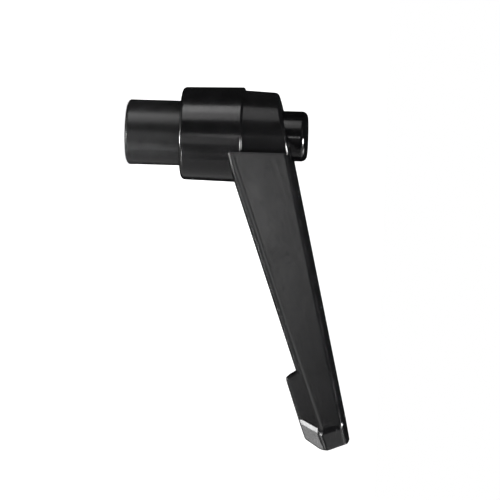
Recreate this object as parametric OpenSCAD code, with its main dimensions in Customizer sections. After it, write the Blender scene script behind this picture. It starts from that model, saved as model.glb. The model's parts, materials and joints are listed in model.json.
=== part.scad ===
// Adjustable clamping lever: a cast lever held on a toothed, threaded insert by a shoulder screw.
// The lever is lifted against a spring to free its teeth, turned, and let go to clamp again.
// Frame: the clamping face of the insert is at Z = 0, +Z is its thread axis, and the arm runs along +X.

/* [Threaded insert] */
// Outer diameter of the collar
collar_d = 13; // [12.6:0.1:14]
// Length of collar that shows below the hub
collar_h = 11; // [8:0.5:20]
// Rounding of the collar's clamping end
collar_edge_r = 0.8; // [0.2:0.1:1.2]
// Length of collar inside the hub, which guides it
guide_h = 4.5; // [4:0.1:6]
// Height of the relieved neck between the collar and the teeth
neck_h = 2; // [1:0.1:3]
// Diameter of the neck
neck_d = 10.8; // [9:0.1:11]
// Wall diameter of the main tapped hole, the minor diameter of its thread
tapped_d = 6.65; // [5:0.05:7]
// Major diameter of the main thread, at its lead-in chamfer
thread_d = 8; // [7.5:0.1:9]
// Depth of the main tapped hole to where its drill point starts
tapped_depth = 11.5; // [6:0.5:12]
// Point angle of the drill that made the tapped holes
drill_point = 118; // [90:1:140]

/* [Teeth] */
// Number of teeth round the serration
teeth = 24; // [12:12:36]
// Height of the toothed crown, the depth of engagement
crown_h = 3; // [2:0.1:3.2]
// Diameter over the insert's teeth
teeth_tip_d = 12.5; // [12.2:0.05:12.6]
// Diameter between the insert's teeth
teeth_root_d = 11.3; // [11:0.05:11.8]
// Share of the pitch that a tooth fills at its root
tooth_root_share = 0.72; // [0.6:0.01:0.75]
// Share of the pitch that a tooth fills at its tip
tooth_tip_share = 0.2; // [0.1:0.01:0.3]

/* [Hub] */
// Diameter of the skirt at its lower rim
skirt_low_d = 18.5; // [17.5:0.1:20]
// Diameter of the skirt at the shoulder
skirt_top_d = 19; // [18.6:0.1:20.5]
// Height of the skirt
skirt_h = 12.4; // [10:0.1:15]
// Rounding of the skirt's lower rim
rim_r = 0.8; // [0.3:0.1:1.4]
// Rounding of the shoulder
shoulder_r = 0.35; // [0.1:0.05:0.5]
// Diameter of the upper hub at the shoulder
upper_d = 17.8; // [17:0.1:18.2]
// Draft angle of the upper hub
upper_draft = 2.7; // [0:0.1:4]
// Height of the slanted back above the lower rim, on the axis
hub_h = 21.15; // [20:0.1:23]
// Rounding of the slanted back's rim
back_rim_r = 0.7; // [0.3:0.1:1.2]
// Thickness of the web that rests on the insert
web_t = 2.2; // [1.5:0.1:3]
// Lead-in chamfer of the lower bore
bore_lead = 0.5; // [0.2:0.1:0.8]

/* [Arm] */
// Reach of the arm from the axis to its tip
arm_reach = 62.7; // [56:0.5:80]
// Where the arm's flat sides start, from the axis
root_x = 3.7; // [3:0.1:5]
// Width of the arm where its sides start
root_w = 18.2; // [17.6:0.1:18.6]
// Width of the arm at its tip
tip_w = 10.8; // [9:0.1:14]
// Slope of the slanted back
back_slope = 13.25; // [11:0.25:14]
// Slope of the arm's underside
under_slope = 19.75; // [18:0.25:20.5]
// Slope of the underside beside the hub
root_slope = 15; // [13:0.5:17]
// Height above the lower rim where the underside's line crosses the axis
under_h = 7.75; // [7:0.1:8.5]
// Where the underside changes its slope, from the axis
bend_x = 13.2; // [12:0.1:15]
// Edge rounding along the underside
under_r = 1.8; // [1:0.1:2]
// Edge rounding of the underside at the hub
root_r = 1.4; // [1:0.1:1.8]
// Edge rounding along the slanted back
back_r = 1.1; // [0.6:0.1:1.4]

/* [Tip] */
// Lean of the tip's upper end face from the vertical
end_lean = 21.3; // [15:0.1:26]
// Slope of the hook's end face
hook_end_slope = 59; // [48:0.1:62]
// Length of the faces that narrow the tip on both sides
nose_l = 3.4; // [2:0.1:4]
// How far those faces come in
nose_in = 2.3; // [1.5:0.1:2.8]
// Edge rounding round the end faces
nose_r = 0.8; // [0.3:0.1:0.8]
// Where the hook leaves the underside, from the axis
hook_x = 46.6; // [40:0.2:48]
// Depth of the hook below the underside
hook_drop = 2.4; // [1.5:0.1:3]
// Slope of the hook's finger face
hook_face_slope = 58.7; // [50:0.5:70]
// How far the hook's sides lie inside the arm's
hook_inset = 0.4; // [0.2:0.05:0.8]
// Edge rounding of the hook
hook_r = 0.7; // [0.4:0.1:1]

/* [Retaining screw] */
// Diameter of the screw's head
head_d = 10; // [9:0.1:10.4]
// Height of the head
head_h = 6; // [4.5:0.1:8]
// Rounding of the head's rim
head_r = 0.6; // [0.2:0.1:1]
// Width across flats of the hexagon socket
socket_af = 4; // [3:0.5:5]
// Depth of the socket
socket_depth = 2.8; // [2:0.1:3.5]
// Diameter of the screw's shoulder
shoulder_d = 6; // [5:0.1:6.5]
// Diameter of the screw's threaded end
screw_d = 4.6; // [3.5:0.1:4.8]
// Length of the threaded end
screw_l = 5; // [3:0.1:5.4]
// Chamfer at the tip of the threaded end
screw_chamfer = 0.5; // [0.2:0.1:0.8]

/* [Spring] */
// Length of the spring as fitted
spring_l = 7.4; // [6.8:0.1:9]
// Outer diameter of the spring
spring_d = 9.4; // [8.6:0.1:9.8]
// Thickness of the spring's wire
wire_d = 0.8; // [0.6:0.05:0.85]
// Number of coils
coils = 4.5; // [3.5:0.25:4.5]
// Gap between a closed end coil and the coil that it lies against
coil_gap = 0.03; // [0.01:0.01:0.1]

/* [Clearances] */
// Radial clearance of the collar in the hub's lower bore
guide_gap = 0.06; // [0.02:0.01:0.1]
// Radial clearance between the two sets of teeth
teeth_gap = 0.12; // [0.08:0.01:0.16]
// Radial clearance of the shoulder in the web
web_gap = 0.3; // [0.2:0.05:0.5]
// Radial clearance of the head in its pocket
pocket_gap = 0.3; // [0.2:0.05:0.6]
// Radial clearance of the threaded end in the insert
screw_gap = 0.02; // [0.01:0.01:0.05]
// Depth of the insert's upper hole past the end of the screw
screw_room = 0.5; // [0.3:0.1:0.6]

/* [Hidden] */
$fn = 96;
ball_fn = 32;
arc_steps = 6;
wire_sides = 8;
wire_steps = 20;
// A cut runs this far past the face that it opens
past = 1;
// The arm's back lies this much below the hub's, so that the two never share a plane
back_sink = 0.01;

// Heights, from the clamping face up
rim_z = collar_h;
guide_z = rim_z + guide_h;
crown_z = guide_z + neck_h;
insert_top = crown_z + crown_h;
web_z = insert_top + web_t;
head_z = web_z + spring_l;
head_top = head_z + head_h;
shoulder_z = rim_z + skirt_h;
back_z = rim_z + hub_h;

bore_d = collar_d + 2 * guide_gap;
pocket_d = head_d + 2 * pocket_gap;
web_d = shoulder_d + 2 * web_gap;
half_taper = (root_w - tip_w) / 2 / (arm_reach - root_x);

// Lines of the arm's side view, each a point [x, z] and a direction with the arm on its left
under_line = [[0, rim_z + under_h], under_slope];
bend_p = [bend_x, rim_z + under_h + bend_x * tan(under_slope)];
root_line = [bend_p, root_slope];
tip_p = [arm_reach, rim_z + under_h + arm_reach * tan(under_slope)];
end_line = [tip_p, 90 + end_lean];
back_line = [[0, back_z - back_sink / cos(back_slope)], 180 + back_slope];
hook_p = [hook_x, rim_z + under_h + hook_x * tan(under_slope)];
face_line = [hook_p, -hook_face_slope];
hook_end_line = [tip_p, hook_end_slope];
nose_turn = atan2(nose_in, nose_l);
// The arm starts inside the hub, and is cut back to where its sides start
buried_x = root_x - 5;

// The line moved by d to its left
function inward(line, d) = [line[0] + d * [-sin(line[1]), cos(line[1])], line[1]];

// Where two lines cross
function cross_at(l, m) =
    let (gap = m[0] - l[0])
    let (along = (gap[0] * sin(m[1]) - gap[1] * cos(m[1])) / sin(m[1] - l[1]))
    l[0] + along * [cos(l[1]), sin(l[1])];

// Centre of a ball of radius r that touches both lines from inside
function nestled(l, m, r) = cross_at(inward(l, r), inward(m, r));

// Half the arm's width at x
function half_w(x) = root_w / 2 - (x - root_x) * half_taper;

// Points of an arc round centre c, from angle a to angle b
function arc(c, r, a, b) = [for (i = [0 : arc_steps])
    let (t = a + (b - a) * i / arc_steps) c + r * [cos(t), sin(t)]];

// A ball at p = [x, z] on each side of the arm, inset from its side faces
module ball_pair(p, r, inset = 0) {
    for (side = [-1, 1])
        translate([p[0], side * (half_w(p[0]) - inset - r), p[1]])
            sphere(r = r, $fn = ball_fn);
}

// How far a ball of radius r lies behind an end, to start the faces that narrow it
function setback(r) = nose_l + r * tan(nose_turn / 2);

// The two ball pairs that shape one corner of an end with narrowing side faces
module nose_corner(edge, end, edge_r, end_r, inset = 0) {
    ball_pair(cross_at(inward(edge, edge_r), inward(end, setback(edge_r))), edge_r, inset);
    nose_ball(edge, end, end_r, inset);
}

// The ball pair where the narrowing side faces reach the end
module nose_ball(edge, end, r, inset) {
    come_in = nose_in - r * (1 - tan((90 - nose_turn) / 2));
    ball_pair(nestled(edge, end, r), r, inset + come_in);
}

// The arm's bar with rounded edges, from inside the hub to the faceted tip
module bar() {
    start_line = [[buried_x, 0], -90];
    difference() {
        hull() {
            ball_pair(nestled(start_line, root_line, root_r), root_r);
            ball_pair(nestled(root_line, under_line, under_r), under_r);
            nose_corner(under_line, end_line, under_r, nose_r);
            nose_corner(back_line, end_line, back_r, nose_r);
            ball_pair(nestled(back_line, start_line, back_r), back_r);
        }
        translate([buried_x - root_w, -root_w, 0])
            cube([root_w + root_x - buried_x, 2 * root_w, back_z * 2]);
    }
}

// The hook under the tip, with the finger face towards the hub
module hook() {
    front_line = inward(under_line, -hook_drop);
    corner = nestled(face_line, front_line, hook_r);
    buried = hook_drop + hook_r + under_r;
    apex = cross_at(inward(end_line, setback(hook_r)), inward(hook_end_line, setback(hook_r)));
    hull() {
        ball_pair(corner, hook_r, hook_inset);
        ball_pair(corner + buried * [-cos(hook_face_slope), sin(hook_face_slope)], hook_r, hook_inset);
        nose_corner(front_line, hook_end_line, hook_r, hook_r, hook_inset);
        ball_pair(apex, hook_r, hook_inset);
        nose_ball(end_line, hook_end_line, nose_r, hook_inset);
    }
}

// The round skirt under the shoulder
module skirt() {
    low_r = skirt_low_d / 2;
    top_r = skirt_top_d / 2;
    rotate_extrude()
        polygon(concat(
            [[0, shoulder_z], [0, rim_z]],
            arc([low_r - rim_r, rim_z + rim_r], rim_r, -90, 0),
            arc([top_r - shoulder_r, shoulder_z - shoulder_r], shoulder_r, 0, 90)));
}

// The drafted hub above the shoulder, cut by the slanted back with a rounded rim
module upper_hub() {
    foot_z = shoulder_z - shoulder_r;
    tall = back_z + upper_d * tan(back_slope) - foot_z;
    foot_r = upper_d / 2 + shoulder_r * tan(upper_draft);
    rim = (upper_d / 2 - (back_z - shoulder_z) * tan(upper_draft)) / cos(back_slope);
    intersection() {
        translate([0, 0, foot_z])
            cylinder(r1 = foot_r, r2 = foot_r - tall * tan(upper_draft), h = tall);
        // The slanted back, with a rim that rounds off the hub's edge and flares out below it
        translate([0, 0, back_z])
            rotate([0, -back_slope, 0])
                rotate_extrude()
                    polygon(concat(
                        [[0, 0], [0, -back_rim_r - tall], [rim + tall, -back_rim_r - tall]],
                        arc([rim - back_rim_r, -back_rim_r], back_rim_r, 0, 90)));
    }
}

// Outline of the insert's teeth, with the given clearance all round
module teeth_outline(gap) {
    pitch = 360 / teeth;
    tip_r = teeth_tip_d / 2 + gap;
    root_r = teeth_root_d / 2 + gap;
    gap_turn = gap / tip_r * 180 / PI;
    tip_turn = pitch * tooth_tip_share / 2 + gap_turn;
    root_turn = pitch * tooth_root_share / 2 + gap_turn;
    polygon([for (i = [0 : teeth - 1])
        for (corner = [[root_r, -root_turn], [tip_r, -tip_turn], [tip_r, tip_turn], [root_r, root_turn]])
            let (turn = i * pitch + corner[1])
                corner[0] * [cos(turn), sin(turn)]]);
}

// The space inside the hub: guide bore, teeth, web hole and spring pocket
module hub_space() {
    translate([0, 0, rim_z - past])
        cylinder(d = bore_d, h = crown_z - rim_z + past);
    translate([0, 0, rim_z - past])
        cylinder(d1 = bore_d + 2 * (bore_lead + past), d2 = bore_d, h = bore_lead + past);
    translate([0, 0, crown_z - past])
        linear_extrude(height = crown_h + past)
            teeth_outline(teeth_gap);
    translate([0, 0, insert_top - past])
        cylinder(d = web_d, h = web_t + 2 * past);
    translate([0, 0, web_z])
        cylinder(d = pocket_d, h = back_z);
}

module lever() {
    color([0.06, 0.06, 0.065])
        difference() {
            union() {
                skirt();
                upper_hub();
                bar();
                hook();
            }
            hub_space();
        }
}

// A drilled hole of diameter d from z = 0 up, with a conical end
module drilled(d, depth) {
    point_h = d / 2 / tan(drill_point / 2);
    translate([0, 0, -past])
        cylinder(d = d, h = depth + past);
    translate([0, 0, depth])
        cylinder(d1 = d, d2 = 0, h = point_h);
}

module threaded_insert() {
    lead_h = (thread_d - tapped_d) / 2;
    color([0.09, 0.09, 0.095])
        difference() {
            union() {
                rotate_extrude()
                    polygon(concat(
                        [[0, 0]],
                        arc([collar_d / 2 - collar_edge_r, collar_edge_r], collar_edge_r, -90, 0),
                        [[collar_d / 2, guide_z], [neck_d / 2, guide_z]],
                        [[neck_d / 2, insert_top], [0, insert_top]]));
                translate([0, 0, crown_z])
                    linear_extrude(height = crown_h)
                        teeth_outline(0);
            }
            drilled(tapped_d, tapped_depth);
            translate([0, 0, -past])
                cylinder(d1 = thread_d + 2 * past, d2 = tapped_d, h = lead_h + past);
            translate([0, 0, insert_top])
                mirror([0, 0, 1])
                    drilled(screw_d + 2 * screw_gap, screw_l + screw_room);
        }
}

module retaining_screw() {
    tip_z = insert_top - screw_l;
    socket_d = socket_af / cos(30);
    color([0.04, 0.04, 0.045])
        difference() {
            rotate_extrude()
                polygon(concat(
                    [[0, tip_z], [screw_d / 2 - screw_chamfer, tip_z]],
                    [[screw_d / 2, tip_z + screw_chamfer], [screw_d / 2, insert_top]],
                    [[shoulder_d / 2, insert_top], [shoulder_d / 2, head_z], [head_d / 2, head_z]],
                    arc([head_d / 2 - head_r, head_top - head_r], head_r, 0, 90),
                    [[0, head_top]]));
            translate([0, 0, head_top - socket_depth])
                cylinder(d = socket_d, h = socket_depth + past, $fn = 6);
            translate([0, 0, head_top - socket_depth])
                mirror([0, 0, 1])
                    cylinder(d1 = socket_af, d2 = 0, h = socket_af / 2 / tan(drill_point / 2));
        }
}

// Height of the wire's centre after a number of coils, with one closed coil at each end
function wire_z(turns) =
    let (closed = wire_d + coil_gap, low = wire_d / 4)
    let (open_rise = spring_l - 2 * low - 2 * closed)
    turns < 1 ? low + turns * closed
    : turns > coils - 1 ? spring_l - low - (coils - turns) * closed
    : low + closed + open_rise * (turns - 1) / (coils - 2);

module spring() {
    mean_r = (spring_d - wire_d) / 2;
    rings = ceil(coils * wire_steps);
    points = [for (i = [0 : rings]) for (j = [0 : wire_sides - 1])
        let (turns = coils * i / rings, at = 360 * turns, round = 360 * j / wire_sides)
        let (r = mean_r + wire_d / 2 * cos(round))
        [r * cos(at), r * sin(at), wire_z(turns) + wire_d / 2 * sin(round)]];
    sides = [for (i = [0 : rings - 1]) for (j = [0 : wire_sides - 1])
        let (a = i * wire_sides + j, b = i * wire_sides + (j + 1) % wire_sides)
        [a, a + wire_sides, b + wire_sides, b]];
    ends = [[for (j = [0 : wire_sides - 1]) j],
        [for (j = [wire_sides - 1 : -1 : 0]) rings * wire_sides + j]];
    color([0.55, 0.56, 0.58])
        translate([0, 0, web_z])
            intersection() {
                polyhedron(points = points, faces = concat(sides, ends), convexity = 6);
                cylinder(d = spring_d + past, h = spring_l);
            }
}

lever();
threaded_insert();
retaining_screw();
spring();
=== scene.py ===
# %% [markdown]
# # An adjustable clamping lever, dressed for the camera
# The real object is a small handle for machines. A cast arm and hub sit on a toothed steel insert that is
# screwed on an M8 stud. The arm is lifted against a spring, turned, and let go again.
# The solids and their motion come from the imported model. This script makes the surfaces that a camera sees:
# fine fillets, the real thread, the wire of the spring, and the finishes.

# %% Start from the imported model
import json
from math import atan2, cos, degrees, hypot, pi, radians, sin, tan

import bpy
from mathutils import Matrix, Vector


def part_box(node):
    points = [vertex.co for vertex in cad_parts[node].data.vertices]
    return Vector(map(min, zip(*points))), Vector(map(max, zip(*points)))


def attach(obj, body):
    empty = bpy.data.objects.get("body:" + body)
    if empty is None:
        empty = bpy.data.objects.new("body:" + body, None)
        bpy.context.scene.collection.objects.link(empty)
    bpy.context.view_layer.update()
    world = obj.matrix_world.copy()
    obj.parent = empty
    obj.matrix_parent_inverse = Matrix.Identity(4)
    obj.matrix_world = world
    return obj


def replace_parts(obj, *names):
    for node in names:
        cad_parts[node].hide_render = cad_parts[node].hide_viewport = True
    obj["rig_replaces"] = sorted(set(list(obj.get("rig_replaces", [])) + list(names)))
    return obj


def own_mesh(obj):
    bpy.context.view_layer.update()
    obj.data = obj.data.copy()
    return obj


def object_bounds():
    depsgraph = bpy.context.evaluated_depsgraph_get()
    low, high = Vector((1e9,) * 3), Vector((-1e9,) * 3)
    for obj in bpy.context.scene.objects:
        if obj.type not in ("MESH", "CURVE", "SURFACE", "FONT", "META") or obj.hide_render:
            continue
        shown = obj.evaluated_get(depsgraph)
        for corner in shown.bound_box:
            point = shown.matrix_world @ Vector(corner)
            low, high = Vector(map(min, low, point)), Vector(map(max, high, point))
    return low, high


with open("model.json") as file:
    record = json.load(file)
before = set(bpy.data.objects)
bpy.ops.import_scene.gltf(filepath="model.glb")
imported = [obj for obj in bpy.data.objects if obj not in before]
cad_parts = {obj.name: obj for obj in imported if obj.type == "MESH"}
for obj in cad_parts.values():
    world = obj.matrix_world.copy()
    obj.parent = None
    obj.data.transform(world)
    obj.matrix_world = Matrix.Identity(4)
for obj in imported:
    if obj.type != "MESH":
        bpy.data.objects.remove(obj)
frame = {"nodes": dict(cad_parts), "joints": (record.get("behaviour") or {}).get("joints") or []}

cad_box = [list(corner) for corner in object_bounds()]

# %% [markdown]
# ## Working in millimetres
# Blender's tools have small fixed tolerances, and they behave better on a part that is 70 units long than on
# one of 0.07. So each piece is modelled with one unit as a millimetre, and is shrunk to metres when it is
# done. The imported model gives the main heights, so a new piece always sits where the solid sits.

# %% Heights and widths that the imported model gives
MM = 0.001


def box_mm(node):
    """The lowest and the highest corner of a node, in millimetres."""
    low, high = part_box(node)
    return low / MM, high / MM


insert_high = box_mm("threaded_insert")[1]
screw_low, screw_high = box_mm("retaining_screw")
spring_low, spring_high = box_mm("spring")
lever_low, lever_high = box_mm("lever")
rim_z = lever_low.z
crown_top = insert_high.z
web_z = spring_low.z
head_z = spring_high.z
head_top = screw_high.z
print("hub rim", round(rim_z, 3), "insert top", round(crown_top, 3), "web", round(web_z, 3))
print("screw head from", round(head_z, 3), "to", round(head_top, 3), "reach", round(lever_high.x, 3))

# %% [markdown]
# ## Bench tools
# A few short helpers do what hands do in the window: clear the selection, enter edit mode, pick faces or
# edges by where they are, slice with a plane, and join or cut with another solid. Each one ends in an
# operator or a modifier, so every step here can be repeated by hand.

# %% Select and pick


def clear_bench():
    """Leaves edit mode with nothing selected."""
    if bpy.context.object and bpy.context.object.mode != "OBJECT":
        bpy.ops.object.mode_set(mode="OBJECT")
    bpy.ops.object.select_all(action="DESELECT")


def bench(piece):
    """Makes one piece the only selected and the active object."""
    clear_bench()
    bpy.context.view_layer.objects.active = piece
    piece.select_set(True)


def pick(piece, kind, wanted):
    """Enters edit mode with only the wanted parts selected.

    wanted is called with the middle and normal of a face, or with the two ends of an edge.
    """
    bench(piece)
    bpy.ops.object.mode_set(mode="EDIT")
    bpy.ops.mesh.select_mode(type=kind)
    bpy.ops.mesh.select_all(action="DESELECT")
    bpy.ops.object.mode_set(mode="OBJECT")
    mesh, count = piece.data, 0
    if kind == "FACE":
        for face in mesh.polygons:
            face.select = wanted(face.center, face.normal)
            count += face.select
    else:
        for edge in mesh.edges:
            a, b = (mesh.vertices[i].co for i in edge.vertices)
            edge.select = wanted(a, b)
            count += edge.select
    bpy.ops.object.mode_set(mode="EDIT")
    return count


# %% Slice, join, cut and round
ON_PLANE = 0.01  # how far off a plane or a height a picked edge may lie
ON_RADIUS = 0.02  # the same for a radius


def slice_off(piece, point, outward):
    """Cuts the piece with a plane, drops what lies on the outward side and closes the cut."""
    bench(piece)
    bpy.ops.object.mode_set(mode="EDIT")
    bpy.ops.mesh.select_all(action="SELECT")
    bpy.ops.mesh.bisect(plane_co=point, plane_no=outward, use_fill=True, clear_outer=True, threshold=1e-5)
    bpy.ops.object.mode_set(mode="OBJECT")


def combine(piece, other, how):
    """Joins other to the piece, or cuts it out, with an exact boolean, and removes other."""
    bench(piece)
    step = piece.modifiers.new("combine", "BOOLEAN")
    step.operation, step.solver, step.object = how, "EXACT", other
    bpy.ops.object.modifier_apply(modifier=step.name)
    bpy.data.objects.remove(other)


def round_edges(piece, wanted, radius, segments):
    """Rounds the edges that wanted(a, b) picks, and returns their number."""
    found = pick(piece, "EDGE", wanted)
    bpy.ops.mesh.bevel(offset=radius, segments=segments, affect="EDGES", clamp_overlap=False)
    bpy.ops.object.mode_set(mode="OBJECT")
    return found


def at_height(z, radius=None):
    """Picks edges that lie flat at a height, and at a radius if one is given."""
    def wanted(a, b):
        flat = abs(a.z - z) < ON_PLANE and abs(b.z - z) < ON_PLANE
        return flat and (radius is None or abs(hypot(a.x, a.y) - radius) < ON_RADIUS)
    return wanted


# %% [markdown]
# ## A lathe
# Most of this part is turned work. The lathe here starts with a round disc, then extrudes it to the next
# height of the profile and scales it to the next radius. Spin would do the same, but it leaves doubled
# points along the axis, while this form stays closed from the start.

# %% Set up the lathe
ROUND = 160  # sides of a large turned surface
SAME_POINT = 1e-4  # points nearer than this are merged


def turn(name, profile, sides=ROUND):
    """A solid turned through the (radius, height) points of a profile."""
    clear_bench()
    radius, height = profile[0]
    bpy.ops.mesh.primitive_circle_add(
        vertices=sides, radius=radius, fill_type="NGON", location=(0, 0, height))
    piece = bpy.context.object
    piece.name = name
    bpy.ops.object.transform_apply(location=True)
    bpy.ops.object.mode_set(mode="EDIT")
    bpy.ops.mesh.select_mode(type="FACE")
    bpy.ops.mesh.select_all(action="SELECT")
    for next_radius, next_height in profile[1:]:
        bpy.ops.mesh.extrude_region_move(TRANSFORM_OT_translate={"value": (0, 0, next_height - height)})
        grow = next_radius / radius
        bpy.ops.transform.resize(value=(grow, grow, 1), center_override=(0, 0, next_height))
        radius, height = next_radius, next_height
    bpy.ops.mesh.select_all(action="SELECT")
    bpy.ops.mesh.remove_doubles(threshold=SAME_POINT)
    bpy.ops.mesh.normals_make_consistent(inside=False)
    bpy.ops.object.mode_set(mode="OBJECT")
    return piece


# %% [markdown]
# ## The hub
# The hub of the real lever is two turned forms in one casting: a skirt that widens a little towards its
# shoulder, and above it a drafted drum that ends in a slanted back. A lathe profile gives both walls. Then
# the back is sliced with one plane, and the rims are rounded with Bevel, because a cast rim is never sharp
# and its bright line is what shows the shape of a black part.

# %% Turn the skirt and the drum
skirt_low_r, skirt_top_r, skirt_h = 9.25, 9.5, 12.4
shoulder_z = rim_z + skirt_h
drum_r, drum_draft = 8.9, radians(2.7)
back_h, back_slope = 21.15, radians(13.25)
back_point = Vector((0, 0, rim_z + back_h))
back_out = Vector((-sin(back_slope), 0, cos(back_slope)))


def drum_radius(z):
    """Radius of the drafted drum at a height."""
    return drum_r - (z - shoulder_z) * tan(drum_draft)


hub = turn("cast_lever", [(skirt_low_r, rim_z), (skirt_top_r, shoulder_z)])
round_edges(hub, at_height(rim_z), radius=0.8, segments=6)
round_edges(hub, at_height(shoulder_z), radius=0.35, segments=4)
drum_sink, drum_stock = 3, 14  # it starts inside the skirt and is longer than needed before the slice
drum_foot, drum_top = shoulder_z - drum_sink, shoulder_z + drum_stock
drum = turn("drum", [(drum_radius(drum_foot), drum_foot), (drum_radius(drum_top), drum_top)])
slice_off(drum, back_point, back_out)


def on_back(a, b):
    """Picks the edges that lie in the slanted back."""
    return all(abs((p - back_point).dot(back_out)) < ON_PLANE for p in (a, b))


round_edges(drum, on_back, radius=0.7, segments=6)
combine(hub, drum, "UNION")
corner = round_edges(hub, at_height(shoulder_z, drum_r), radius=0.15, segments=3)
print("hub faces", len(hub.data.polygons), "shoulder corner edges", corner)

# %% [markdown]
# ## The arm
# The arm is a bar with flat faces: two sides that come together towards the tip, a slanted back, an
# underside that rises, an end face, and small faces that narrow the tip. Flat faces are quickest to get by
# slicing a block, as a pattern maker would saw it. So each flat is written down as a point on it and the
# direction that it looks in, and keeps its name.

# %% Name the flats of the arm
SIDES = ((-1, "near"), (1, "far"))
half_root, half_tip = 9.1, 5.4  # half of the arm's width at its root in the hub, and at its tip
root_x, reach = 3.7, 62.7  # how far these two lie from the thread axis
taper = atan2(half_root - half_tip, reach - root_x)
under_slope, under_h = radians(19.75), 7.75  # the underside, and its height above the rim on the thread axis
root_slope, bend_x = radians(16), 8.5  # its flatter stretch beside the hub, and where that ends
end_lean, end_inset = radians(21.3), 0.06  # the end face, set in from the corner of the tip
foot_slope, foot_inset = radians(57), 0.19  # the same for the face under it
nose_lean, nose_length, nose_depth = radians(17), 4.0, 2.3  # the small faces that narrow the tip
back_sink = 0.01  # keeps the arm's back just under the hub's, so that the two flats don't fight


def half_width(x):
    """Half of the arm's width at a distance from the thread axis."""
    return half_root - (half_root - half_tip) * (x - root_x) / (reach - root_x)


def under_at(x):
    """The middle of the underside at a distance from the thread axis."""
    return Vector((x, 0, rim_z + under_h + x * tan(under_slope)))


def below(slope):
    """Outward direction of a face that looks down from a line with this slope."""
    return Vector((sin(slope), 0, -cos(slope)))


def leaning(angle):
    """Outward direction of an end face that leans back by this angle."""
    return Vector((cos(angle), 0, sin(angle)))


def flank(side, half):
    """The flat on one side of the arm, which comes in towards the tip. half is half the width at the root."""
    return Vector((root_x, side * half, 0)), Vector((sin(taper), side * cos(taper), 0))


def narrowing(toward_end, length, depth, side, inset=0.0):
    """The face that narrows the tip on one side: it turns from the arm's side towards the end."""
    swing = atan2(depth, length)
    x = reach - toward_end.x * length
    start = Vector((x, side * (half_width(x) - inset), tip.z - toward_end.z * length))
    return start, Vector((0, side * cos(swing), 0)) + toward_end * sin(swing)


tip = under_at(reach)
end_flat = (tip - leaning(end_lean) * end_inset, leaning(end_lean))
foot_flat = (tip - below(foot_slope) * foot_inset, below(foot_slope))
arm_flats = {
    "ledge": (Vector((root_x, 0, 0)), Vector((-1, 0, 0))),
    "under": (tip, below(under_slope)),
    "root": (under_at(bend_x), below(root_slope)),
    "back": (back_point - Vector((0, 0, back_sink)), back_out),
    "end": end_flat,
}
for side, word in SIDES:
    arm_flats["side_" + word] = flank(side, half_root)
    arm_flats["nose_" + word] = narrowing(leaning(nose_lean), nose_length, nose_depth, side)
print("arm flats", sorted(arm_flats))

# %% [markdown]
# ## Rounding an edge by its two flats
# The real edges differ: they are round along the underside and tight at the tip. Each edge is known by the
# two named flats that meet in it, so a short list gives its radius. Bevel wants a width instead, which also
# depends on the angle of the corner. The widths go into the edges' bevel weights, and one Bevel does all.

# %% Saw the arm and round its edges
EDGE_STEPS = 8  # faces across each rounded edge of the arm and hook


def saw(name, size, middle, flats):
    """A block of this size, sliced with each named flat in turn."""
    clear_bench()
    bpy.ops.mesh.primitive_cube_add(size=1, location=middle)
    piece = bpy.context.object
    piece.name, piece.scale = name, size
    bpy.ops.object.transform_apply(location=True, scale=True)
    for point, outward in flats.values():
        slice_off(piece, point, outward)
    return piece


def round_by_flats(piece, flats, radii):
    """Rounds each edge by the radius given for the pair of flats that meet in it, and returns the widths."""
    mesh = piece.data
    outs = {name: flat[1].normalized() for name, flat in flats.items()}
    names = [max(outs, key=lambda name: face.normal.dot(outs[name])) for face in mesh.polygons]
    meeting = {}
    for face in mesh.polygons:
        for key in face.edge_keys:
            meeting.setdefault(key, []).append(face.index)
    widths = {}
    for edge in mesh.edges:
        one, two = meeting[tuple(sorted(edge.vertices))]
        pair = {names[one].split("_")[0], names[two].split("_")[0]}
        radius = next((r for words, r in radii if pair == set(words.split())), 0)
        between = mesh.polygons[one].normal.angle(mesh.polygons[two].normal)
        widths[edge.index] = radius * tan(between / 2)
    widest = max(widths.values())
    weight = mesh.attributes.new("bevel_weight_edge", "FLOAT", "EDGE")
    for index, width in widths.items():
        weight.data[index].value = width / widest
    bench(piece)
    step = piece.modifiers.new("round", "BEVEL")
    step.limit_method, step.offset_type = "WEIGHT", "OFFSET"
    step.width, step.segments, step.use_clamp_overlap = widest, EDGE_STEPS, False
    bpy.ops.object.modifier_apply(modifier=step.name)
    return sorted({round(width, 2) for width in widths.values()})


arm = saw("arm", size=(90, 30, 60), middle=(40, 0, 30), flats=arm_flats)
arm_radii = [
    ("side under", 1.8), ("side root", 1.6), ("side back", 1.1), ("side nose", 3.0), ("nose under", 1.3),
    ("nose back", 1.4), ("nose end", 0.7), ("under end", 1.2), ("end back", 0.7), ("ledge side", 0.3),
    ("ledge root", 0.8), ("ledge back", 0.3)]
print("arm sawn with", len(arm.data.polygons), "faces")
print("widths of its rounded edges", round_by_flats(arm, arm_flats, arm_radii))

# %% [markdown]
# ## The hook
# Under the tip the casting turns down into a hook that keeps the fingers from sliding off. It is a second
# bar, a little narrower than the arm, with a steep finger face towards the hub. It is sawn and rounded in
# the same way and joined to the arm later, so that the step between the two stays crisp as on the real one.

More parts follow.
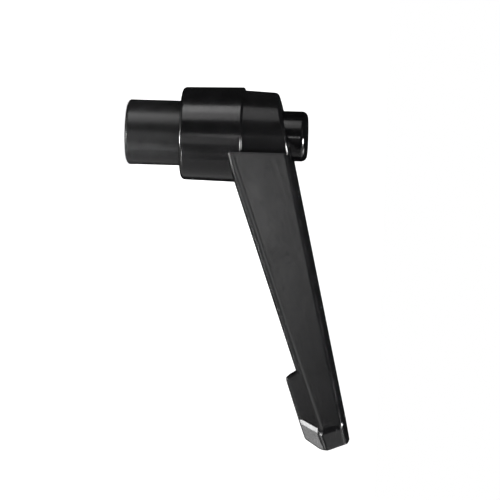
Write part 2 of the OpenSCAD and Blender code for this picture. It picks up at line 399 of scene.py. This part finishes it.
# %% Saw the hook
hook_x, hook_drop = 46.6, 2.4  # where its finger face starts, and how far it stands out of the underside
hook_inset, hook_bury = 0.4, 2.6  # how much narrower it is on each side, and how far it reaches into the arm
hook_face, front_slope = radians(58.7), radians(19.1)
hook_flats = {
    "front": (under_at(hook_x) + below(under_slope) * hook_drop, below(front_slope)),
    "face": (under_at(hook_x), below(-hook_face)),
    "foot": foot_flat,
    "end": end_flat,
    "top": (tip - below(under_slope) * hook_bury, -below(under_slope)),
}
for side, word in SIDES:
    hook_flats["side_" + word] = flank(side, half_root - hook_inset)
hook = saw("hook", size=(40, 30, 40), middle=(55, 0, 38), flats=hook_flats)
hook_radii = [
    ("side front", 0.7), ("side face", 0.7), ("front face", 0.7), ("side foot", 0.7), ("side end", 0.7),
    ("front foot", 0.9), ("foot end", 2.4)]
print("hook sawn with", len(hook.data.polygons), "faces")
print("widths of its rounded edges", round_by_flats(hook, hook_flats, hook_radii))

# %% [markdown]
# ## The small faces of the tip
# The hook's small faces come last, as if made with a file, through edges that are round already. The first
# narrows the hook, and its border is softened a little. The next follows the face that narrows the arm. The
# last is a narrow flat, which is the brightest spot of the real tip. One bevel for all of these edges would
# cross itself, because they are shorter than its radii.

# %% File the small faces and join everything
ON_CUT = 0.002  # how far off a fresh cut its own border may lie
cheek_inset = 0.06  # keeps the hook just inside the faces that narrow the arm
hook_nose_slope, hook_nose_length, hook_nose_depth = radians(65), 3.6, 2.51


def chamfer(flat, other, width, share):
    """A narrow face on the edge of two flats. share is how far it has turned from the first to the second."""
    point, outward = flat[0], flat[1].normalized()
    other_point, other_out = other[0], other[1].normalized()
    across = outward - other_out * outward.dot(other_out)
    edge = other_point + across * ((point - other_point).dot(outward) / across.dot(outward))
    bend = outward.angle(other_out)
    turned = outward.slerp(other_out, share)
    depth = width * sin(bend * share) * sin(bend * (1 - share)) / sin(bend)
    return edge - turned * depth, turned


def in_plane(point, outward):
    """Picks the edges that lie in a plane, which are the border of the face just cut."""
    across = outward.normalized()
    return lambda a, b: all(abs((p - point).dot(across)) < ON_CUT for p in (a, b))


glint_outs = []
for side, word in SIDES:
    cheek = narrowing(leaning(nose_lean), nose_length, nose_depth, side, cheek_inset)
    nose = narrowing(below(hook_nose_slope), hook_nose_length, hook_nose_depth, side, hook_inset)
    slice_off(hook, *nose)
    soft = round_edges(hook, in_plane(*nose), radius=0.25, segments=4)
    slice_off(hook, *cheek)
    glint_flat = chamfer(hook_flats["side_" + word], nose, width=0.9, share=0.75)
    slice_off(hook, *glint_flat)
    glint_outs.append(glint_flat[1])
    print(word, "side of the tip: softened edges", soft)
combine(arm, hook, "UNION")
lever = hub
combine(lever, arm, "UNION")
print("hub, arm and hook joined with", len(lever.data.polygons), "faces")

# %% [markdown]
# ## The teeth
# The lever grips the insert with 24 teeth, so it can be set in steps of 15 degrees. The insert carries the
# teeth, and the lever has slots of the same form with a little clearance, so one helper makes both. A tooth
# is a small block, tapered by scaling its outer face, and is copied round the axis.

# %% Make a ring of teeth
TEETH = 24
FACING = 0.9  # a face looks along an axis when its normal has at least this much of it
tooth_tip_r, tooth_root_r = 6.25, 5.65
tooth_foot, tooth_point = 0.36, 0.1  # half of a tooth's angle at its root and at its tip, in pitches
tooth_sink = 0.06  # how far a tooth starts inside what carries it
crown_h, slot_over = 3, 0.02  # height of a tooth, and how much taller the cutter of a slot is
crown_z = crown_top - crown_h


def tooth_ring(name, grow):
    """Tapered teeth as one loose ring, grown all round by the clearance."""
    root, outer = tooth_root_r + grow, tooth_tip_r + grow
    inner = root - tooth_sink
    pitch = 2 * pi / TEETH
    wide = 2 * root * sin(pitch * tooth_foot) + 2 * grow
    narrow = 2 * outer * sin(pitch * tooth_point) + 2 * grow
    inner_wide = narrow + (wide - narrow) * (outer - inner) / (outer - root)
    clear_bench()
    bpy.ops.mesh.primitive_cube_add(size=1, location=((inner + outer) / 2, 0, crown_z + crown_h / 2))
    first = bpy.context.object
    first.scale = (outer - inner, inner_wide, crown_h + (slot_over if grow else 0))
    bpy.ops.object.transform_apply(location=True, scale=True)
    pick(first, "FACE", lambda middle, normal: normal.x > FACING)
    bpy.ops.transform.resize(value=(1, narrow / inner_wide, 1), center_override=(outer, 0, 0))
    bpy.ops.object.mode_set(mode="OBJECT")
    copies = [first]
    for step in range(1, TEETH):
        other = first.copy()
        other.data = first.data.copy()
        bpy.context.collection.objects.link(other)
        other.matrix_world = Matrix.Rotation(step * pitch, 4, "Z")
        copies.append(other)
    bench(first)
    for other in copies:
        other.select_set(True)
    bpy.ops.object.join()
    first.name = name
    bpy.ops.object.transform_apply(rotation=True)
    return first


# %% [markdown]
# ## The space inside the hub
# From below, the hub has a plain bore that runs on the insert's collar, then the slots for the teeth. Above
# them a web lets the screw through and carries the spring, and a pocket opens in the slanted back. One lathe
# profile cuts all the round steps at once, and it starts outside the piece so that no thin skin is left.

# %% Cut the steps and the slots
PAST = 1  # how far a cutter starts outside the piece
guide_r, pocket_r, web_r = 6.56, 5.3, 3.3  # the bore below, the pocket above and the hole in the web
mouth_h, tooth_gap = 0.5, 0.12  # the chamfer at the rim, and the clearance of the teeth
core_r = tooth_root_r + tooth_gap
steps = turn("steps", [
    (guide_r + (mouth_h + PAST), rim_z - PAST), (guide_r, rim_z + mouth_h), (guide_r, crown_z),
    (core_r, crown_z), (core_r, crown_top), (web_r, crown_top), (web_r, web_z), (pocket_r, web_z),
    (pocket_r, lever_high.z)])
combine(lever, steps, "DIFFERENCE")
combine(lever, tooth_ring("tooth_slots", tooth_gap), "DIFFERENCE")


def pocket_mouth(a, b):
    """Picks the edge between the pocket and the slanted back."""
    return on_back(a, b) and all(abs(hypot(p.x, p.y) - pocket_r) < ON_RADIUS for p in (a, b))


mouth = round_edges(lever, pocket_mouth, radius=0.25, segments=3)
print("pocket mouth edges", mouth, "lever faces", len(lever.data.polygons))

# %% [markdown]
# ## Finishing a piece
# Every piece ends the same way: doubles merged, faces turned outwards, smooth shading that stops at sharp
# edges, and Weighted Normal, which keeps large flats flat beside a fillet so that a reflection runs straight
# across them. Then it is shrunk to metres about the origin, and hung on its body.

# %% Finish, shrink and hang


def finish_piece(piece, body, node, sharp=32):
    """Cleans, smooths and shrinks a piece, then hangs it on its body. sharp is in degrees."""
    bench(piece)
    bpy.ops.object.mode_set(mode="EDIT")
    bpy.ops.mesh.select_all(action="SELECT")
    bpy.ops.mesh.remove_doubles(threshold=2 * SAME_POINT)
    bpy.ops.mesh.normals_make_consistent(inside=False)
    bpy.ops.object.mode_set(mode="OBJECT")
    bpy.ops.object.shade_smooth_by_angle(angle=radians(sharp))
    step = piece.modifiers.new("flats", "WEIGHTED_NORMAL")
    step.keep_sharp, step.weight = True, 50
    bpy.ops.object.modifier_apply(modifier=step.name)
    piece.scale = (MM, MM, MM)
    bpy.ops.object.transform_apply(scale=True)
    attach(piece, body)
    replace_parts(piece, node)
    low, high = ([round(v / MM, 2) for v in piece.bound_box[corner]] for corner in (0, 6))
    print(piece.name, len(piece.data.polygons), "faces from", low, "to", high)


# %% [markdown]
# ## Two crisp flats on the tip
# The narrow flats of the tip would lose their highlight if they were blended with the rounds beside them.
# Weighted Normal keeps an edge that is marked sharp, so their borders are marked before the lever is
# finished. They are found again by the direction that they look in.

# %% Mark the crisp flats and finish the lever
SAME_WAY = 0.9999  # two directions are the same above this dot product
line_of = {tuple(sorted(edge.vertices)): edge for edge in lever.data.edges}
crisp = [face for face in lever.data.polygons if any(face.normal.dot(out) > SAME_WAY for out in glint_outs)]
for face in crisp:
    for key in face.edge_keys:
        line_of[tuple(sorted(key))].use_edge_sharp = True
print("small flat faces kept crisp", len(crisp))
finish_piece(lever, "lever", "lever")

# %% [markdown]
# ## The threaded insert
# The insert is turned from bar: a collar with a rounded end, a relieved neck, and a crown that carries the
# teeth. A blind hole for the stud is drilled and chamfered from below, and a smaller one for the screw from
# above. A drill leaves a cone at the bottom of its hole, so both cutters end in one.

# %% Turn the collar and drill the holes
TURNED_POINT = 0.001  # radius of a turned point, which can't be zero
collar_r, neck_r, guide_h = 6.5, 5.4, 4.5
end_in, end_up = 0.8, 0.35  # how far the end of the collar is chamfered, across and along the axis
guide_top = rim_z + guide_h
insert = turn("turned_insert", [
    (collar_r - end_in, 0), (collar_r, end_up), (collar_r, guide_top), (neck_r, guide_top), (neck_r, crown_z),
    (tooth_root_r, crown_z), (tooth_root_r, crown_top)])
round_edges(insert, at_height(end_up, collar_r), radius=0.35, segments=4)
round_edges(insert, at_height(guide_top, collar_r), radius=0.2, segments=3)
combine(insert, tooth_ring("teeth", 0), "UNION")

minor_r, major_r, tapped_depth = 3.325, 4.0, 11.5
hole_r, hole_depth = 2.32, 5.5
drill_half = radians(59)  # half of the angle of a drill's point
bore = turn("bore", [
    (major_r + PAST, -PAST), (minor_r, major_r - minor_r), (minor_r, tapped_depth),
    (TURNED_POINT, tapped_depth + minor_r / tan(drill_half))], sides=96)
combine(insert, bore, "DIFFERENCE")
hole_floor = crown_top - hole_depth
upper = turn("upper", [
    (TURNED_POINT, hole_floor - hole_r / tan(drill_half)), (hole_r, hole_floor), (hole_r, crown_top + PAST)],
    sides=64)
combine(insert, upper, "DIFFERENCE")
print("insert before its thread", len(insert.data.polygons), "faces")

# %% [markdown]
# ## The M8 thread
# The thread is a real helix, because a texture could not show its crests at the mouth of the hole. The
# section of its groove is four points of a plane without its face. A Screw modifier sweeps them up the hole,
# the two ends are filled, and the groove is cut out. It starts one turn below the mouth.

# %% Sweep the thread's groove and cut it out
thread_pitch, groove_turns = 1.25, 9
groove_r = 3.1  # the groove starts here, inside the drilled hole
mouth_half, floor_half = 0.599, 0.078  # half of its width there and at its floor
section = [(groove_r, -mouth_half), (major_r, -floor_half), (major_r, floor_half), (groove_r, mouth_half)]
clear_bench()
bpy.ops.mesh.primitive_plane_add(size=1, location=(0, 0, 0))
groove = bpy.context.object
for index, (radius, height) in zip(groove.data.polygons[0].vertices, section):
    groove.data.vertices[index].co = (radius, 0, height - thread_pitch)
bench(groove)
bpy.ops.object.mode_set(mode="EDIT")
bpy.ops.mesh.select_all(action="SELECT")
bpy.ops.mesh.delete(type="ONLY_FACE")
bpy.ops.object.mode_set(mode="OBJECT")
sweep = groove.modifiers.new("thread", "SCREW")
sweep.axis, sweep.screw_offset, sweep.iterations = "Z", thread_pitch, groove_turns
sweep.steps = sweep.render_steps = 48
sweep.use_merge_vertices = False
bpy.ops.object.modifier_apply(modifier=sweep.name)
bpy.ops.object.mode_set(mode="EDIT")
bpy.ops.mesh.select_all(action="SELECT")
bpy.ops.mesh.remove_doubles(threshold=SAME_POINT)
bpy.ops.mesh.fill_holes(sides=8)
bpy.ops.mesh.select_all(action="SELECT")
bpy.ops.mesh.normals_make_consistent(inside=False)
bpy.ops.object.mode_set(mode="OBJECT")
combine(insert, groove, "DIFFERENCE")
finish_piece(insert, "insert", "threaded_insert")

# %% [markdown]
# ## The retaining screw
# A cap screw with a long shoulder holds the lever on: its head keeps the spring in, and its thread bites in
# the insert. It is turned on the same lathe. The hexagon socket is a six-sided cylinder, cut out with one
# cone for the chamfer at its mouth and another for the drilled point at its floor.

# %% Turn the screw
shank_r, shoulder_r, head_r, lead_in = 2.3, 3, 5, 0.5
screw_tip = screw_low.z
screw = turn("shoulder_screw", [
    (shank_r - lead_in, screw_tip), (shank_r, screw_tip + lead_in), (shank_r, crown_top),
    (shoulder_r, crown_top), (shoulder_r, head_z), (head_r, head_z), (head_r, head_top)], sides=128)
round_edges(screw, at_height(head_top, head_r), radius=1.2, segments=10)
round_edges(screw, at_height(head_z, head_r), radius=0.15, segments=2)
print("screw before its socket", len(screw.data.polygons), "faces")

# %% Sink its socket
socket_flats, socket_depth = 4, 2.8
corner_r = socket_flats / 2 / cos(pi / 6)
mouth_r = corner_r + 0.1  # the cone at the mouth is this much wider than the corners of the hexagon
cone_in, cone_out = 1.2, 0.5  # how far that cone reaches into the screw, and out of it
drill_r, drill_deep, drill_over = 1.9, 1.1, 0.1  # the cone at the floor, and how far its cutter overlaps
socket_floor = head_top - socket_depth
clear_bench()
bpy.ops.mesh.primitive_cylinder_add(
    vertices=6, radius=corner_r, depth=socket_depth + 2 * PAST,
    location=(0, 0, head_top - socket_depth / 2 + PAST))
socket = bpy.context.object
bpy.ops.object.transform_apply(location=True)
combine(screw, socket, "DIFFERENCE")
mouth_cone = turn("mouth_cone", [
    (mouth_r - cone_in, head_top - cone_in), (mouth_r + cone_out, head_top + cone_out)], sides=64)
combine(screw, mouth_cone, "DIFFERENCE")
floor_cone = turn("floor_cone", [
    (TURNED_POINT, socket_floor - drill_deep), (drill_r, socket_floor), (drill_r, socket_floor + drill_over)],
    sides=64)
combine(screw, floor_cone, "DIFFERENCE")
finish_piece(screw, "insert", "retaining_screw")

# %% [markdown]
# ## The spring
# The spring is bent from round wire: closed coils at both ends and open ones between, with the ends ground
# flat. A wire is a curve with thickness, so its path is written as points on a helix and given a round
# section. It becomes a mesh, so that its ends can be sliced flat.

# %% Wind the spring and grind its ends
wire_r, coil_r, coils, coil_gap = 0.4, 4.3, 4.5, 0.03
closed_rise = 2 * wire_r + coil_gap
end_sink, end_skim = wire_r / 2, 0.001  # how far the wire reaches past the ends, and how short it is ground
turn_points = 48
spring_length = head_z - web_z


def wire_height(turns):
    """Height of the wire's centre above the web after a number of turns."""
    open_rise = spring_length - 2 * end_sink - 2 * closed_rise
    if turns < 1:
        return end_sink + turns * closed_rise
    if turns > coils - 1:
        return spring_length - end_sink - (coils - turns) * closed_rise
    return end_sink + closed_rise + open_rise * (turns - 1) / (coils - 2)


path = bpy.data.curves.new("spring", "CURVE")
path.dimensions = "3D"
path.bevel_depth, path.bevel_resolution, path.use_fill_caps = wire_r, 6, True
line = path.splines.new("POLY")
count = int(coils * turn_points) + 1
line.points.add(count - 1)
for i, point in enumerate(line.points):
    turns = coils * i / (count - 1)
    angle = 2 * pi * turns
    point.co = (coil_r * cos(angle), coil_r * sin(angle), web_z + wire_height(turns), 1)
spring = bpy.data.objects.new("coil_spring", path)
bpy.context.collection.objects.link(spring)
bench(spring)
bpy.ops.object.convert(target="MESH")
spring = bpy.context.object
slice_off(spring, (0, 0, web_z + end_skim), (0, 0, -1))
slice_off(spring, (0, 0, head_z - end_skim), (0, 0, 1))
finish_piece(spring, "spring", "spring", sharp=40)

# %% [markdown]
# ## How far the spring shortens
# When the lever is lifted, its web pushes the spring up against the screw's head. The joint's range says how
# short it becomes, so that travel is read here, and the spring gets a mesh of its own.

# %% Read how far the spring shortens
lift = next(joint for joint in frame["joints"] if joint["name"] == "lift")
travel = max(abs(limit) for limit in lift["range_m"]) / MM
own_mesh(spring)
print("spring of", round(spring_length, 2), "mm, shorter by", round(travel, 2), "when the lever is up")

# %% [markdown]
# ## Finishes
# All four pieces are dark or steel, so what the eye reads is gloss. Each finish is a Principled shader whose
# roughness and bump come from noise at the real scale. Object coordinates are used, because the pieces sit
# at the origin, so the pattern never slides or stretches. A few helpers add the nodes that each finish needs.

# %% Helpers for a finish
NOISE_LOW, NOISE_HIGH = 0.3, 0.7  # nearly all values of a noise lie between these
SHADE_LOW, SHADE_HIGH = 0.35, 0.65  # below the first the colour is all dark, above the second all light


def finish(name, colour, roughness, metallic=0.0):
    """A Principled material, its nodes, links, shader and object coordinates."""
    material = bpy.data.materials.new(name)
    material.use_nodes = True
    nodes, links = material.node_tree.nodes, material.node_tree.links
    shader = nodes["Principled BSDF"]
    shader.inputs["Base Color"].default_value = (*colour, 1)
    shader.inputs["Roughness"].default_value = roughness
    shader.inputs["Metallic"].default_value = metallic
    place = nodes.new("ShaderNodeTexCoord")
    return material, nodes, links, shader, place


def noise(nodes, links, place, scale, detail, stretch=None):
    """Noise of this many grains per metre, stretched by a Mapping node if stretch is given."""
    grain = nodes.new("ShaderNodeTexNoise")
    grain.inputs["Scale"].default_value = scale
    grain.inputs["Detail"].default_value = detail
    if stretch:
        mapping = nodes.new("ShaderNodeMapping")
        mapping.inputs["Scale"].default_value = stretch
        links.new(place.outputs["Object"], mapping.inputs["Vector"])
        links.new(mapping.outputs["Vector"], grain.inputs["Vector"])
    else:
        links.new(place.outputs["Object"], grain.inputs["Vector"])
    return grain


def spread(nodes, links, source, target, low, high):
    """Sends a noise into a socket as values from low to high."""
    remap = nodes.new("ShaderNodeMapRange")
    remap.inputs["From Min"].default_value = NOISE_LOW
    remap.inputs["From Max"].default_value = NOISE_HIGH
    remap.inputs["To Min"].default_value = low
    remap.inputs["To Max"].default_value = high
    links.new(source, remap.inputs["Value"])
    links.new(remap.outputs["Result"], target)


def bump(nodes, links, source, shader, depth):
    """Raises the surface by depth metres where the noise is bright."""
    relief = nodes.new("ShaderNodeBump")
    relief.inputs["Distance"].default_value = depth
    relief.inputs["Strength"].default_value = 1.0
    links.new(source, relief.inputs["Height"])
    links.new(relief.outputs["Normal"], shader.inputs["Normal"])


def tint(nodes, links, source, shader, dark, light):
    """Mixes two shades of the base colour by a noise."""
    ramp = nodes.new("ShaderNodeValToRGB")
    start, end = ramp.color_ramp.elements
    start.position, start.color = SHADE_LOW, (*dark, 1)
    end.position, end.color = SHADE_HIGH, (*light, 1)
    links.new(source, ramp.inputs["Fac"])
    links.new(ramp.outputs["Color"], shader.inputs["Base Color"])


# %% [markdown]
# ## The black coat of the casting
# The casting has a smooth black coat with a little gloss. Sprayed coats are never quite flat: a very low
# bump of a millimetre's grain gives the faint orange peel, and a coarser noise varies the gloss.

# %% Coat the casting
coat, nodes, links, shader, place = finish("black_powder_coat", colour=(0.005, 0.005, 0.0054), roughness=0.2)
peel = noise(nodes, links, place, scale=900, detail=2)
bump(nodes, links, peel.outputs["Fac"], shader, depth=0.000012)
cloud = noise(nodes, links, place, scale=220, detail=3)
spread(nodes, links, cloud.outputs["Fac"], shader.inputs["Roughness"], low=0.18, high=0.23)
tint(nodes, links, cloud.outputs["Fac"], shader, dark=(0.004, 0.004, 0.0043), light=(0.006, 0.006, 0.0065))
print("made", coat.name, "with", len(nodes), "nodes")

# %% [markdown]
# ## Black oxide on turned steel
# The insert and the screw are blackened after turning, so fine rings from the tool show through. A noise
# that is stretched wide across the axis and kept fine along it draws such rings. The insert is duller, and
# the screw is oiled and glossier, with fainter rings.

# %% Blacken the insert and the screw
oxide, nodes, links, shader, place = finish("black_oxide_turned", colour=(0.02, 0.02, 0.021), roughness=0.5)
rings = noise(nodes, links, place, scale=500, detail=3, stretch=(0.02, 0.02, 6))
bump(nodes, links, rings.outputs["Fac"], shader, depth=0.000006)
cloud = noise(nodes, links, place, scale=400, detail=4)
spread(nodes, links, cloud.outputs["Fac"], shader.inputs["Roughness"], low=0.28, high=0.36)
tint(nodes, links, cloud.outputs["Fac"], shader, dark=(0.010, 0.010, 0.0105), light=(0.015, 0.015, 0.0158))
print("made", oxide.name, "with", len(nodes), "nodes")

oiled, nodes, links, shader, place = finish("black_oxide_oiled", colour=(0.01, 0.01, 0.011), roughness=0.2)
rings = noise(nodes, links, place, scale=700, detail=2, stretch=(0.03, 0.03, 4))
bump(nodes, links, rings.outputs["Fac"], shader, depth=0.000003)
cloud = noise(nodes, links, place, scale=300, detail=3)
spread(nodes, links, cloud.outputs["Fac"], shader.inputs["Roughness"], low=0.12, high=0.18)
tint(nodes, links, cloud.outputs["Fac"], shader, dark=(0.002, 0.002, 0.0022), light=(0.004, 0.004, 0.0043))
print("made", oiled.name, "with", len(nodes), "nodes")

# %% [markdown]
# ## Drawn wire
# The spring is the only bright piece. Its wire is bare metal, drawn through a die, so it is metallic with a
# fine grain that makes the gloss uneven. With the four finishes made, each piece gets its own, and so does
# the solid that it hides, so that the two match if the solid is ever shown.

# %% Brighten the wire and dress the pieces
wire, nodes, links, shader, place = finish(
    "drawn_wire", colour=(0.42, 0.43, 0.45), roughness=0.3, metallic=1.0)
grain = noise(nodes, links, place, scale=1500, detail=2)
bump(nodes, links, grain.outputs["Fac"], shader, depth=0.000004)
spread(nodes, links, grain.outputs["Fac"], shader.inputs["Roughness"], low=0.24, high=0.36)
tint(nodes, links, grain.outputs["Fac"], shader, dark=(0.36, 0.37, 0.39), light=(0.48, 0.49, 0.51))

for piece, material in ((lever, coat), (insert, oxide), (screw, oiled), (spring, wire)):
    hidden_solid = frame["nodes"][piece["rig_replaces"][0]]
    for wearer in (piece, hidden_solid):
        wearer.data.materials.clear()
        wearer.data.materials.append(material)
    print(piece.name, "wears", material.name)

# %% [markdown]
# ## The camera
# The photograph was taken with a long lens from the side, with the thread axis lying across the picture and
# the arm pointing down. The camera's place, its right and its up are written out, as found by matching the
# outline. The third direction follows from the two by a cross product.

# %% Place the camera
eye = Vector((22.3825, -552.433, 61.1227)) * MM
right = Vector((-0.03141074, 0.06470737, 0.99740981)).normalized()
up = Vector((-0.999506, -0.000988, -0.03141266)).normalized()
toward = right.cross(up).normalized()
up = toward.cross(right)
clear_bench()
bpy.ops.object.camera_add()
camera = bpy.context.object
camera.name = "camera"
camera.matrix_world = Matrix.Translation(eye) @ Matrix((right, up, toward)).transposed().to_4x4()
camera.data.sensor_width, camera.data.lens = 36, 199.44  # in mm: 2770 pixels on a picture of 500
camera.data.clip_start, camera.data.clip_end = 0.01, 20
bpy.context.scene.camera = camera
print("camera looks along", [round(v, 3) for v in -toward])

# %% [markdown]
# ## Lamps
# Two soft lamps and a dim world light the colour of the part and lay its soft shadow on the floor. They are
# kept out of the gloss, because the gloss gets surroundings of its own in the next step. A lamp is aimed by
# turning its own Z axis away from the part.

# %% Hang the lamps
middle = (Vector(cad_box[0]) + Vector(cad_box[1])) / 2


def lamp(name, place, size, watts):
    """A square area lamp that looks at the middle of the part. Places and sizes are in metres."""
    clear_bench()
    bpy.ops.object.light_add(type="AREA", location=place)
    light = bpy.context.object
    light.name = name
    light.rotation_euler = (Vector(place) - middle).to_track_quat("Z", "Y").to_euler()
    light.data.shape, light.data.size, light.data.energy = "SQUARE", size, watts
    light.visible_camera = light.visible_glossy = False
    print("hung", name, "with", watts, "watts")


lamp("soft_top", place=(-0.25, -0.35, 0.75), size=0.5, watts=6)
lamp("soft_side", place=(0.6, -0.5, 0.45), size=0.5, watts=3)

# %% [markdown]
# ## Floor and background
# The photograph's background is plain white. The floor is a pale sheet just under the foot of the part. A
# little light of its own, seen by the camera, in mirrors and through glass, lifts it to white, while its
# diffuse part keeps the soft shadow. The world behind it is white in the same way, and dim for the rest.

# %% Lay the floor
floor_drop = 0.0002  # in metres, so that the floor and the end of the insert don't share a plane
paper_white, paper_glow = 0.8, 0.8


def seen_directly(nodes, links):
    """1 for rays from the camera, from a mirror or through glass, and 0 for the rest."""
    rays = nodes.new("ShaderNodeLightPath")
    total = rays.outputs["Is Camera Ray"]
    for word in ("Is Glossy Ray", "Is Transmission Ray"):
        larger = nodes.new("ShaderNodeMath")
        larger.operation = "MAXIMUM"
        links.new(total, larger.inputs[0])
        links.new(rays.outputs[word], larger.inputs[1])
        total = larger.outputs[0]
    return total


clear_bench()
bpy.ops.mesh.primitive_plane_add(size=6, location=(0, 0, -floor_drop))
floor = bpy.context.object
floor.name = "floor"
floor.visible_glossy = False
paper = bpy.data.materials.new("pale_floor")
paper.use_nodes = True
nodes, links = paper.node_tree.nodes, paper.node_tree.links
nodes.clear()
sheet = nodes.new("ShaderNodeBsdfDiffuse")
sheet.inputs["Color"].default_value = (paper_white, paper_white, paper_white, 1)
glow = nodes.new("ShaderNodeEmission")
level = nodes.new("ShaderNodeMath")
level.operation = "MULTIPLY"
level.inputs[1].default_value = paper_glow
links.new(seen_directly(nodes, links), level.inputs[0])
links.new(level.outputs[0], glow.inputs["Strength"])
both = nodes.new("ShaderNodeAddShader")
links.new(sheet.outputs[0], both.inputs[0])
links.new(glow.outputs[0], both.inputs[1])
output = nodes.new("ShaderNodeOutputMaterial")
links.new(both.outputs[0], output.inputs["Surface"])
floor.data.materials.append(paper)
print("floor at", floor.location.z)

# %% Whiten the world
dim_world, white_world = 0.4, 1.0
world = bpy.context.scene.world or bpy.data.worlds.new("world")
bpy.context.scene.world = world
world.use_nodes = True
nodes, links = world.node_tree.nodes, world.node_tree.links
nodes.clear()
background = nodes.new("ShaderNodeBackground")
background.inputs["Color"].default_value = (1, 1, 1, 1)
remap = nodes.new("ShaderNodeMapRange")
remap.inputs["To Min"].default_value = dim_world
remap.inputs["To Max"].default_value = white_world
links.new(seen_directly(nodes, links), remap.inputs["Value"])
links.new(remap.outputs["Result"], background.inputs["Strength"])
output = nodes.new("ShaderNodeOutputWorld")
links.new(background.outputs[0], output.inputs["Surface"])
print("world at", dim_world, "and seen as", white_world)

# %% [markdown]
# ## A light tent for the gloss
# A glossy black part is a mirror for the room, so photographers put it in a tent of black cloth with lit
# panels: each panel draws one soft highlight, and the cloth keeps the rest dark. The tent here is a ball
# round the part with one pole straight above it. Where it is open, the white background shows in the gloss.
# A panel's place is four angles in degrees: its start and end round the part, where 0 faces the camera and
# 90 points away from the arm, and its low and high edge, where -90 is straight down. Its name says where the
# camera sees it, and the camera lies on its side, so left in the picture is down.

# %% Plan the panels
# start, end, low and high angle, and how strongly the panel glows
panels = {
    "key": (52, 71, -27, -4, 4.3),
    "key_wing": (33, 52, -27, -4, 2.2),
    "key_end": (39, 75, -4, 8, 0.9),
    "front": (-27, -12, -43, -6, 1.3),
    "front_strip": (-9, -3, -6, -3, 7.8),
    "front_low": (-24, -9, -45, -27, 2.4),
    "lower_front": (-60, -30, -45, -6, 0.3),
    "low_back": (-140, -68, -58, -3, 0.5),
    "left_side": (-110, -20, -85, -76, 85.0),
    "left_high": (-5, 25, -76, -56, 2.5),
    "right_side": (-44, -18, 44, 60, 90.0),
    "right_low": (-54, -44, 34, 54, 9.0),
    "right_end": (-106, -86, 34, 54, 7.0),
    "tip_glint": (-62, -51, -27, -18, 34.0),
    "tip_face": (-84, -66, -34, -21, 5.6),
    "lower_right": (-114, -58, 6, 58, 0.9),
    "upper_right": (-2, 36, 18, 38, 0.3),
    "foot": (-55, 88, -90, -45, 0.5),
}
openings = {"foot_back": (79, 195, -90, -60), "foot_low": (-120, -60, -90, -60)}
cloth_glow = 0.01


def within(direction, patch):
    """True where a direction from the part lies in a patch of the tent."""
    along = degrees(atan2(direction.z, hypot(direction.x, direction.y)))
    around = degrees(atan2(-direction.x, -direction.y))
    start, end, low, high = patch[:4]
    return (around - start) % 360 < (end - start) % 360 and low <= along < high


def glow_at(spot):
    """How brightly the tent glows in a direction, or None where it is open."""
    lit_here = [panel[4] for panel in panels.values() if within(spot, panel)]
    if lit_here:
        return max(lit_here)
    return None if any(within(spot, patch) for patch in openings.values()) else cloth_glow


print("panels", len(panels), "strongest glow", max(panel[4] for panel in panels.values()))

# %% [markdown]
# ## Sewing the tent
# The tent is a sphere whose open faces are deleted. Each face that is left gets its glow as an attribute of
# the mesh, which an Attribute node hands to an Emission shader. Only glossy rays see the tent, so it draws
# highlights but neither lights nor shades the part or the floor.

# %% Sew the tent and light its panels
clear_bench()
bpy.ops.mesh.primitive_uv_sphere_add(segments=240, ring_count=120, radius=1.5, location=middle)
tent = bpy.context.object
tent.name = "light_tent"
cut = pick(tent, "FACE", lambda spot, normal: glow_at(spot) is None)
bpy.ops.mesh.delete(type="FACE")
bpy.ops.object.mode_set(mode="OBJECT")
lit = tent.data.attributes.new("glow", "FLOAT", "FACE")
for face in tent.data.polygons:
    lit.data[face.index].value = glow_at(face.center)
cloth = bpy.data.materials.new("tent_cloth")
cloth.use_nodes = True
nodes, links = cloth.node_tree.nodes, cloth.node_tree.links
nodes.clear()
reader = nodes.new("ShaderNodeAttribute")
reader.attribute_name = "glow"
shine = nodes.new("ShaderNodeEmission")
links.new(reader.outputs["Fac"], shine.inputs["Strength"])
output = nodes.new("ShaderNodeOutputMaterial")
links.new(shine.outputs[0], output.inputs["Surface"])
cloth.cycles.emission_sampling = "NONE"
tent.data.materials.append(cloth)
tent.visible_camera = tent.visible_diffuse = tent.visible_transmission = tent.visible_shadow = False
tent.visible_volume_scatter = False
print("tent faces", len(tent.data.polygons), "cut out", cut)

# %% [markdown]
# ## Colours as they are written
# The Standard view shows a colour as it is.

# %% Set the view
bpy.context.scene.view_settings.view_transform = "Standard"
